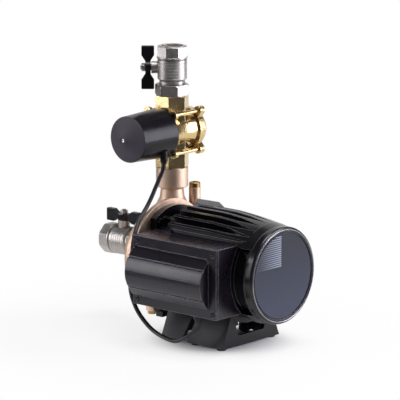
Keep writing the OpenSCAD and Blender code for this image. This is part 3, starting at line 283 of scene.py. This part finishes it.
def makeFinish(name, look):
    material = bpy.data.materials.new(name)
    material.use_nodes = True
    tree = material.node_tree
    tree.nodes.clear()
    place = addNode(tree, "ShaderNodeTexCoord").outputs["Object"]
    patches = addNode(tree, "ShaderNodeTexNoise", {"Vector": place},
                      {"Scale": 1000 / look["patch"], "Detail": 4.0, "Roughness": 0.6}).outputs["Fac"]
    grain = addNode(tree, "ShaderNodeTexNoise", {"Vector": place},
                    {"Scale": 1000 / look["grain"], "Detail": 3.0, "Roughness": 0.55}).outputs["Fac"]
    rounded = addNode(tree, "ShaderNodeBevel", values={"Radius": look["bevel"] / 1000},
                      samples=6).outputs["Normal"]
    flat = addNode(tree, "ShaderNodeNewGeometry").outputs["Normal"]
    # Sharp edges blend towards the edge colour: a painted highlight along them, and partly wear
    bend = addNode(tree, "ShaderNodeVectorMath", {0: rounded, 1: flat}, operation="DOT_PRODUCT")
    edges = addNode(tree, "ShaderNodeMapRange", {"Value": bend.outputs["Value"]},
                    {"From Min": edgeAndCornerSpans["sharp"][0], "From Max": edgeAndCornerSpans["sharp"][1],
                     "To Min": 0.0, "To Max": look["edgeAmount"]})
    colour = mixColours(tree, patches, *look["colours"])
    if "dirtAndShade" in look:   # dirt and tarnish that settle in the corners, together with painted shade where the corners are closed
        dark, reach, amount = look["dirtAndShade"]
        openness = addNode(tree, "ShaderNodeAmbientOcclusion", values={"Distance": reach / 1000}, samples=6)
        uneven = addNode(tree, "ShaderNodeMath", {0: openness.outputs["AO"], 1: patches}, operation="ADD")
        cornerDirtAndShade = addNode(tree, "ShaderNodeMapRange", {"Value": uneven.outputs["Value"]},
                       {"From Min": edgeAndCornerSpans["closed"][0], "From Max": edgeAndCornerSpans["closed"][1],
                        "To Min": 0.0, "To Max": amount})
        colour = mixColours(tree, cornerDirtAndShade.outputs["Result"], colour, dark)
    colour = mixColours(tree, edges.outputs["Result"], colour, look["edge"])
    rough = addNode(tree, "ShaderNodeMapRange", {"Value": patches},
                    {"From Min": edgeAndCornerSpans["patchSpan"][0], "From Max": edgeAndCornerSpans["patchSpan"][1],
                     "To Min": look["roughness"][0], "To Max": look["roughness"][1]})
    if "zone" in look:   # another colour and gloss on one side, blended from start to end along an axis
        axis, other, start, end, gloss = look["zone"]
        along = addNode(tree, "ShaderNodeSeparateXYZ", {"Vector": place}).outputs[axis]
        share = addNode(tree, "ShaderNodeMapRange", {"Value": along},
                        {"From Min": start, "From Max": end, "To Min": 0.0, "To Max": 1.0}).outputs["Result"]
        colour = mixColours(tree, share, other, colour)
        rough = addNode(tree, "ShaderNodeMapRange", {"Value": share, "To Max": rough.outputs["Result"]},
                        {"To Min": gloss})
    bump = addNode(tree, "ShaderNodeBump", {"Height": grain, "Normal": rounded},
                   {"Strength": 1.0, "Distance": look["depth"] / 1000})
    shader = addNode(tree, "ShaderNodeBsdfPrincipled",
                     {"Base Color": colour, "Roughness": rough.outputs["Result"],
                      "Normal": bump.outputs["Normal"]},
                     {"Metallic": look["metallic"], "Specular IOR Level": look["specular"]})
    addNode(tree, "ShaderNodeOutputMaterial", {"Surface": shader.outputs["BSDF"]})
    return material


finish = {name: makeFinish(name, look) for name, look in finishes.items()}

dressing = {
    "powderCoatedAluminium": ["motor_housing", "motor_bracket", "end_cap"],
    "stovedPaint": ["base"],
    "mouldedAbs": ["terminal_box", "terminal_cover"],
    "nylonLitFront": ["flow_cover"],
    "mouldedNylon": ["cord_gland", "supply_gland", "strain_relief", "flow_flap"],
    "dippedVinyl": ["outlet_handle", "inlet_handle"],
    "castBronze": ["pump_casing", "impeller"],
    "polishedBrass": ["flow_body", "flow_rear_cover"],
    "dullBrass": ["priming_plug", "drain_plug"],
    "nickelPlatedBrass": ["outlet_valve_body", "outlet_stem", "outlet_handle_nut", "outlet_union_nut",
                          "outlet_tailpiece", "inlet_valve_body", "inlet_stem", "inlet_handle_nut",
                          "inlet_union_nut", "inlet_tailpiece"],
    "zincPlatedSteel": ["base_screws", "flow_flange_screws", "flow_cover_screw", "capacitor_clip",
                        "impeller_nut"],
    "blackOxideSteel": ["cover_screws", "casing_bolts"],
    "polyesterFilm": ["label_disc"],
    "mouldedRubber": ["rubber_feet", "casing_o_ring", "terminal_gasket", "flow_o_ring"],
    "laminatedSteel": ["stator_core", "rotor_core"],
    "turnedStainless": ["bearing_plate", "rotor_can", "shaft", "flap_pin", "outlet_ball", "inlet_ball"],
    "enamelledCopper": ["stator_windings"],
    "pressedGraphite": ["front_bearing", "rear_bearing"],
    "whiteNylon": ["terminal_block", "capacitor", "outlet_ball_seats", "inlet_ball_seats"],
    "glassFibreBoard": ["sensor_board"],
}

for finishName, nodeNames in dressing.items():
    for nodeName in nodeNames:
        mesh = nodes[nodeName].data
        mesh.materials.clear()
        mesh.materials.append(finish[finishName])
print("finishes set:", len(finish))


# Signal cord from the flow switch to the gland under the terminal box

signalCord = {
    "radius": 3.0,
    "stepsPerPoint": 6,
    "route": [   # millimetres from the pump's origin, as in the CAD
        (-2, -14.5, 144), (-2, -14.5, 137), (-2, -14.5, 129.5), (-3, -16, 120.5), (-5, -19, 112),
        (-7, -25, 99.5), (-7.5, -33, 86.5), (-7, -43, 74.5), (-4.5, -55, 65.5), (-1, -67, 57.5), (4, -78, 49),
        (7, -86, 39), (7, -89, 24), (5, -90, 4), (3, -90, -14.5), (3.5, -90, -33), (8.5, -90, -49.5),
        (20, -90, -67), (40.5, -90, -83.5), (63, -91, -91.5), (85, -90.5, -94.5), (101, -88, -88.5),
        (111.5, -83, -80), (116.5, -79, -71.5), (117.5, -78, -65), (117.5, -78, -57), (117.5, -78, -48)],
}


def smoothRoute(points, steps):
    known = [Vector(p) for p in points]
    count = len(known)
    result = []
    for i in range(count - 1):
        a, b, c, d = known[max(i - 1, 0)], known[i], known[i + 1], known[min(i + 2, count - 1)]
        for k in range(steps):
            u = k / steps
            result.append(0.5 * (2 * b + (c - a) * u + (2 * a - 5 * b + 4 * c - d) * u * u
                                 + (3 * b - 3 * c + d - a) * u ** 3))
    result.append(known[-1])
    return [atPump(*p) for p in result]


def makeCord(look):
    path = smoothRoute(look["route"], look["stepsPerPoint"])
    curve = bpy.data.curves.new("signalCord", "CURVE")
    curve.dimensions = "3D"
    curve.bevel_depth = look["radius"] / 1000
    curve.bevel_resolution = 5
    curve.use_fill_caps = True
    spline = curve.splines.new("POLY")
    spline.points.add(len(path) - 1)
    for point, place in zip(spline.points, path):
        point.co = (*place, 1)
    spline.use_smooth = True
    cord = addPiece("signalCord", curve, "pump", finish["pvcSheath"])
    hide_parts("flow_cord")


makeCord(signalCord)


# Pieces grown by geometry nodes

def startTree(name, sizes):   # a tree with one named input for each size
    tree = bpy.data.node_groups.new(name, "GeometryNodeTree")
    for label, value in sizes.items():
        kind = "NodeSocketInt" if isinstance(value, int) else "NodeSocketFloat"
        tree.interface.new_socket(label, in_out="INPUT", socket_type=kind).default_value = value
    tree.interface.new_socket("Geometry", in_out="OUTPUT", socket_type="NodeSocketGeometry")
    return tree, addNode(tree, "NodeGroupInput").outputs


def endTree(tree, geometry, material):
    single = addNode(tree, "GeometryNodeRealizeInstances", {"Geometry": geometry})
    coated = addNode(tree, "GeometryNodeSetMaterial", {"Geometry": single.outputs["Geometry"]},
                     {"Material": material})
    addNode(tree, "NodeGroupOutput", {"Geometry": coated.outputs["Geometry"]})
    return tree


def sweep(tree, curve, radius, sides):   # a round bar along a curve
    section = addNode(tree, "GeometryNodeCurvePrimitiveCircle", {"Radius": radius}, {"Resolution": sides})
    bar = addNode(tree, "GeometryNodeCurveToMesh",
                  {"Curve": curve, "Profile Curve": section.outputs["Curve"]}, {"Fill Caps": True})
    return bar.outputs["Mesh"]


def growPiece(name, tree, sizes, places, body):
    piece = bpy.data.objects.new(name, bpy.data.meshes.new(name))
    scene.collection.objects.link(piece)
    modifier = piece.modifiers.new("shape", "NODES")
    modifier.node_group = tree
    for item in tree.interface.items_tree:
        if item.in_out == "INPUT":
            modifier[item.identifier] = sizes[item.name]
    evaluated = piece.evaluated_get(bpy.context.evaluated_depsgraph_get())
    grown = bpy.data.meshes.new_from_object(evaluated)
    piece.modifiers.clear()
    whole = bmesh.new()
    for place in places:
        copy = grown.copy()
        copy.transform(place)
        whole.from_mesh(copy)
        bpy.data.meshes.remove(copy)
    mesh = bpy.data.meshes.new(name)
    whole.to_mesh(mesh)
    whole.free()
    for material in grown.materials:
        mesh.materials.append(material)
    piece.data = mesh
    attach(piece, body)
    return piece


def pointing(at, axis):   # a matrix that stands a piece's Z along an axis at a place on the pump
    return Matrix.Translation(atPump(*at)) @ Vector(axis).to_track_quat("Z", "Y").to_matrix().to_4x4()


def facing(at, axis, side):   # the same, with the piece's X towards one side
    across = Vector(side).normalized()
    along = Vector(axis)
    turned = Matrix((across, along.cross(across), along)).transposed()
    return Matrix.Translation(atPump(*at)) @ turned.to_4x4()


# Screw threads in the two open mouths

portThread = {"Radius": 0.01515, "Pitch": 0.00231, "Turns": 5.6, "Depth": 0.0006}


def threadTree(sizes):
    tree, size = startTree("portThread", sizes)
    height = addNode(tree, "ShaderNodeMath", {0: size["Pitch"], 1: size["Turns"]}, operation="MULTIPLY")
    helix = addNode(tree, "GeometryNodeCurveSpiral",
                    {"Rotations": size["Turns"], "Start Radius": size["Radius"], "End Radius": size["Radius"],
                     "Height": height.outputs["Value"]}, {"Resolution": 48})
    return endTree(tree, sweep(tree, helix.outputs["Curve"], size["Depth"], 4), finish["nickelPlatedBrass"])


growPiece("outletThread", threadTree(portThread), portThread,
          [pointing((-28, 31.5, 274), (0, 0, 1))], "pump")
growPiece("inletThread", threadTree(portThread), portThread,
          [pointing((-108, 0, 6), (-1, 0, 0))], "pump")
print("port threads cut")


# Rings: ribs of the strain relief, the bright ring over the label's bead as a painted highlight, and the tool
# marks on both valve bodies

reliefRibs = {"Radius": 0.0050, "Section": 0.00055, "Pitch": 0.0021, "Count": 6}
labelHighlightRing = {"Radius": 0.0638, "Section": 0.0004, "Pitch": 0.0, "Count": 1}
valveRings = {"Radius": 0.0206, "Section": 0.00035, "Pitch": 0.0042, "Count": 6,
              "Start": math.radians(28), "Sweep": math.radians(304)}   # open at the stem's boss
stemSides = {"outlet": (-0.7478, -0.66393, 0), "inlet": (0, 0, 1)}   # where each valve's stem points


def ringTree(name, sizes, material, sides):
    tree, size = startTree(name, sizes)
    step = addNode(tree, "ShaderNodeCombineXYZ", {"Z": size["Pitch"]})
    line = addNode(tree, "GeometryNodeMeshLine", {"Count": size["Count"], "Offset": step.outputs["Vector"]})
    if "Sweep" in sizes:
        path = addNode(tree, "GeometryNodeCurveArc",
                       {"Radius": size["Radius"], "Start Angle": size["Start"], "Sweep Angle": size["Sweep"]},
                       {"Resolution": sides})
    else:
        path = addNode(tree, "GeometryNodeCurvePrimitiveCircle", {"Radius": size["Radius"]},
                       {"Resolution": sides})
    ring = sweep(tree, path.outputs["Curve"], size["Section"], 10)
    rings = addNode(tree, "GeometryNodeInstanceOnPoints", {"Points": line.outputs["Mesh"], "Instance": ring})
    return endTree(tree, rings.outputs["Instances"], material)


growPiece("reliefRibs", ringTree("reliefRibs", reliefRibs, finish["mouldedNylon"], 40), reliefRibs,
          [pointing((-2, -14.5, 145), (0, 0, -1))], "pump")
growPiece("labelHighlightRing", ringTree("labelHighlightRing", labelHighlightRing, finish["highlightRingMetal"], 160), labelHighlightRing,
          [pointing((203.95, 0, 0), (1, 0, 0))], "pump")
growPiece("valveRings", ringTree("valveRings", valveRings, finish["nickelPlatedBrass"], 96), valveRings,
          [facing((-28, 31.5, 243), (0, 0, 1), stemSides["outlet"]),
           facing((-77, 0, 6), (-1, 0, 0), stemSides["inlet"])],
          "pump")
print("ribs, trim and valve rings set")


# Printed stripes on the label, each as long as the disc leaves room for

labelStripes = {"Count": 15, "Pitch": 0.0029, "Bar": 0.00145, "Low": 0.0147, "Disc": 0.0575,
                "Edge": -0.0036, "Thickness": 0.0002}


def stripeTree(sizes):
    tree, size = startTree("labelStripes", sizes)
    index = addNode(tree, "GeometryNodeInputIndex").outputs["Index"]
    rise = addNode(tree, "ShaderNodeMath", {0: index, 1: size["Pitch"], 2: size["Low"]},
                   operation="MULTIPLY_ADD").outputs["Value"]
    riseSquared = addNode(tree, "ShaderNodeMath", {0: rise, 1: rise}, operation="MULTIPLY")
    discSquared = addNode(tree, "ShaderNodeMath", {0: size["Disc"], 1: size["Disc"]}, operation="MULTIPLY")
    rest = addNode(tree, "ShaderNodeMath", {0: discSquared.outputs["Value"], 1: riseSquared.outputs["Value"]},
                   operation="SUBTRACT")
    chord = addNode(tree, "ShaderNodeMath", {0: rest.outputs["Value"]}, operation="SQRT").outputs["Value"]
    length = addNode(tree, "ShaderNodeMath", {0: size["Edge"], 1: chord}, operation="ADD").outputs["Value"]
    twice = addNode(tree, "ShaderNodeMath", {0: size["Edge"], 1: chord},
                    operation="SUBTRACT").outputs["Value"]
    middle = addNode(tree, "ShaderNodeMath", {0: twice}, {1: 0.5}, operation="MULTIPLY").outputs["Value"]
    line = addNode(tree, "GeometryNodeMeshLine", {"Count": size["Count"]})
    spot = addNode(tree, "ShaderNodeCombineXYZ", {"Y": middle, "Z": rise})
    placed = addNode(tree, "GeometryNodeSetPosition",
                     {"Geometry": line.outputs["Mesh"], "Position": spot.outputs["Vector"]})
    bar = addNode(tree, "GeometryNodeMeshCube", values={"Size": (1, 1, 1)})
    shape = addNode(tree, "ShaderNodeCombineXYZ", {"X": size["Thickness"], "Y": length, "Z": size["Bar"]})
    bars = addNode(tree, "GeometryNodeInstanceOnPoints",
                   {"Points": placed.outputs["Geometry"], "Instance": bar.outputs["Mesh"],
                    "Scale": shape.outputs["Vector"]})
    return endTree(tree, bars.outputs["Instances"], finish["paleInk"])


growPiece("labelStripes", stripeTree(labelStripes), labelStripes, [Matrix.Translation(atPump(202.75, 0, 0))],
          "pump")
print("label printed")


# Grip ribs round the cap of the gland where the signal cord enters

glandRibs = {"Count": 18, "Circle": 0.0050, "Width": 0.0009, "Length": 0.0042}


def gripTree(sizes):
    tree, size = startTree("glandRibs", sizes)
    circle = addNode(tree, "GeometryNodeMeshCircle", {"Vertices": size["Count"], "Radius": size["Circle"]})
    spot = addNode(tree, "GeometryNodeInputPosition").outputs["Position"]
    outwards = addNode(tree, "FunctionNodeAlignRotationToVector", {"Vector": spot}, axis="X")
    rib = addNode(tree, "GeometryNodeMeshCylinder", {"Radius": size["Width"], "Depth": size["Length"]},
                  {"Vertices": 8})
    ribs = addNode(tree, "GeometryNodeInstanceOnPoints",
                   {"Points": circle.outputs["Mesh"], "Instance": rib.outputs["Mesh"],
                    "Rotation": outwards.outputs["Rotation"]})
    return endTree(tree, ribs.outputs["Instances"], finish["mouldedNylon"])


growPiece("glandRibs", gripTree(glandRibs), glandRibs, [pointing((117.5, -78, -58.5), (0, 0, -1))], "pump")
print("gland ribs set")


# Seam left by the mould round the back of the volute

mouldSeam = {"Radius": 0.0669, "Bar": 0.0006, "Start": math.radians(-130), "Sweep": math.radians(150)}


def seamTree(sizes):
    tree, size = startTree("mouldSeam", sizes)
    arc = addNode(tree, "GeometryNodeCurveArc",
                  {"Radius": size["Radius"], "Start Angle": size["Start"], "Sweep Angle": size["Sweep"]},
                  {"Resolution": 60})
    return endTree(tree, sweep(tree, arc.outputs["Curve"], size["Bar"], 8), finish["castBronze"])


growPiece("mouldSeam", seamTree(mouldSeam), mouldSeam, [pointing((-28, 5, -5), (1, 0, 0))], "pump")
print("mould seam laid")


# Studio: white floor and backdrop, a soft box on each side and one above

studio = {
    "table": (-0.36, 1.3, -0.45, 1.6),   # metres to the left, right, front and back of the pump
    "tableColour": "#ffffff",
    "tableGlow": 0.80,      # share of plain white near the pump, so that only the shadow shows
    "glowReach": (0.22, 0.42),   # metres over which the table turns plain white
    "baseMiddle": (0.049, 0.017, 0),
    "underBase": (0.045, 0.115),   # metres from the base's middle over which its shade ends
    "backdropSide": (-0.65, 0.73, 0.2),   # where the white wall stands, as metal mirrors it
    "backdropEdge": (0.72, 0.86),         # how close to that side the wall starts and is whole
    "room": "#58585b",      # the room on the camera's side, as metal mirrors it
    "ambient": 0.62,        # light of the room on the object
    "lamps": [
        # name, place, width, height, power, colour, aim
        ("rightBox", (1.30, 0.95, 0.45), 0.7, 1.3, 28, "#f3f2ff", (0.0, 0.0, 0.12)),
        ("leftBox", (-1.15, -1.15, 0.55), 0.55, 1.1, 11, "#fbfaff", (0.0, 0.0, 0.15)),
        ("topBox", (0.25, 0.1, 2.0), 0.9, 0.9, 22, "#ffffff", (0.0, 0.0, 0.1)),
    ],
}


def makeFloor(look):
    turn = math.radians(cameraView["azimuth"])
    across = Vector((math.sin(turn), math.cos(turn), 0))
    back = Vector((-math.cos(turn), math.sin(turn), 0))
    left, right, front, far = look["table"]
    mesh = bpy.data.meshes.new("floor")
    corners = [across * x + back * y for x, y in ((left, front), (right, front), (right, far), (left, far))]
    mesh.from_pydata(corners, [], [(0, 1, 2, 3)])
    floor = bpy.data.objects.new("floor", mesh)
    scene.collection.objects.link(floor)
    paper = bpy.data.materials.new("backdropPaper")
    paper.use_nodes = True
    tree = paper.node_tree
    tree.nodes.clear()
    sheet = addNode(tree, "ShaderNodeBsdfDiffuse", values={"Color": linear(look["tableColour"])})
    white = addNode(tree, "ShaderNodeEmission", values={"Color": (1, 1, 1, 1), "Strength": 1.0})
    place = addNode(tree, "ShaderNodeTexCoord").outputs["Object"]
    away = addNode(tree, "ShaderNodeVectorMath", {0: place}, operation="LENGTH")
    glow = addNode(tree, "ShaderNodeMapRange", {"Value": away.outputs["Value"]},
                   {"From Min": look["glowReach"][0], "From Max": look["glowReach"][1],
                    "To Min": look["tableGlow"], "To Max": 1.0}, interpolation_type="SMOOTHSTEP")
    fromBase = addNode(tree, "ShaderNodeVectorMath", {0: place}, {1: look["baseMiddle"]},
                       operation="DISTANCE")
    shade = addNode(tree, "ShaderNodeMapRange", {"Value": fromBase.outputs["Value"]},
                    {"From Min": look["underBase"][0], "From Max": look["underBase"][1]},
                    interpolation_type="SMOOTHSTEP")
    lit = addNode(tree, "ShaderNodeMath", {0: shade.outputs["Result"], 1: glow.outputs["Result"]},
                  operation="MULTIPLY")
    share = addNode(tree, "ShaderNodeMath", {0: seenRays(tree), 1: lit.outputs["Value"]},
                    operation="MULTIPLY")
    both = addNode(tree, "ShaderNodeMixShader",
                   {0: share.outputs["Value"], 1: sheet.outputs["BSDF"], 2: white.outputs["Emission"]})
    addNode(tree, "ShaderNodeOutputMaterial", {"Surface": both.outputs["Shader"]})
    mesh.materials.append(paper)


def seenRays(tree):
    ray = addNode(tree, "ShaderNodeLightPath").outputs
    mirrored = addNode(tree, "ShaderNodeMath", {0: ray["Is Glossy Ray"], 1: ray["Is Transmission Ray"]},
                       operation="MAXIMUM")
    return addNode(tree, "ShaderNodeMath", {0: ray["Is Camera Ray"], 1: mirrored.outputs["Value"]},
                   operation="MAXIMUM").outputs["Value"]


def makeWorld(look):
    world = bpy.data.worlds.new("studio")
    world.use_nodes = True
    scene.world = world
    tree = world.node_tree
    tree.nodes.clear()
    ray = addNode(tree, "ShaderNodeLightPath").outputs
    direction = addNode(tree, "ShaderNodeTexCoord").outputs["Generated"]
    behind = addNode(tree, "ShaderNodeVectorMath", {0: direction}, {1: look["backdropSide"]},
                     operation="DOT_PRODUCT")
    backdrop = addNode(tree, "ShaderNodeMapRange", {"Value": behind.outputs["Value"]},
                       {"From Min": look["backdropEdge"][0], "From Max": look["backdropEdge"][1]},
                       interpolation_type="SMOOTHSTEP")
    white = addNode(tree, "ShaderNodeMath", {0: ray["Is Camera Ray"], 1: backdrop.outputs["Result"]},
                    operation="MAXIMUM")
    colour = mixColours(tree, white.outputs["Value"], look["room"], "#ffffff")
    strength = addNode(tree, "ShaderNodeMapRange", {"Value": seenRays(tree)},
                       {"To Min": look["ambient"], "To Max": 1.0})
    light = addNode(tree, "ShaderNodeBackground", {"Color": colour, "Strength": strength.outputs["Result"]})
    addNode(tree, "ShaderNodeOutputWorld", {"Surface": light.outputs["Background"]})


def makeLamps(look):
    for name, place, width, height, power, colour, aim in look["lamps"]:
        lamp = bpy.data.lights.new(name, "AREA")
        lamp.color = linear(colour)[:3]
        lamp.shape = "RECTANGLE"
        lamp.size = width
        lamp.size_y = height
        lamp.energy = power
        holder = bpy.data.objects.new(name, lamp)
        scene.collection.objects.link(holder)
        direction = Vector(aim) - Vector(place)
        turned = direction.to_track_quat("-Z", "Y").to_matrix().to_4x4()
        holder.matrix_world = Matrix.Translation(place) @ turned


makeFloor(studio)
makeWorld(studio)
makeLamps(studio)
scene.view_settings.view_transform = "Standard"
print("studio lit")
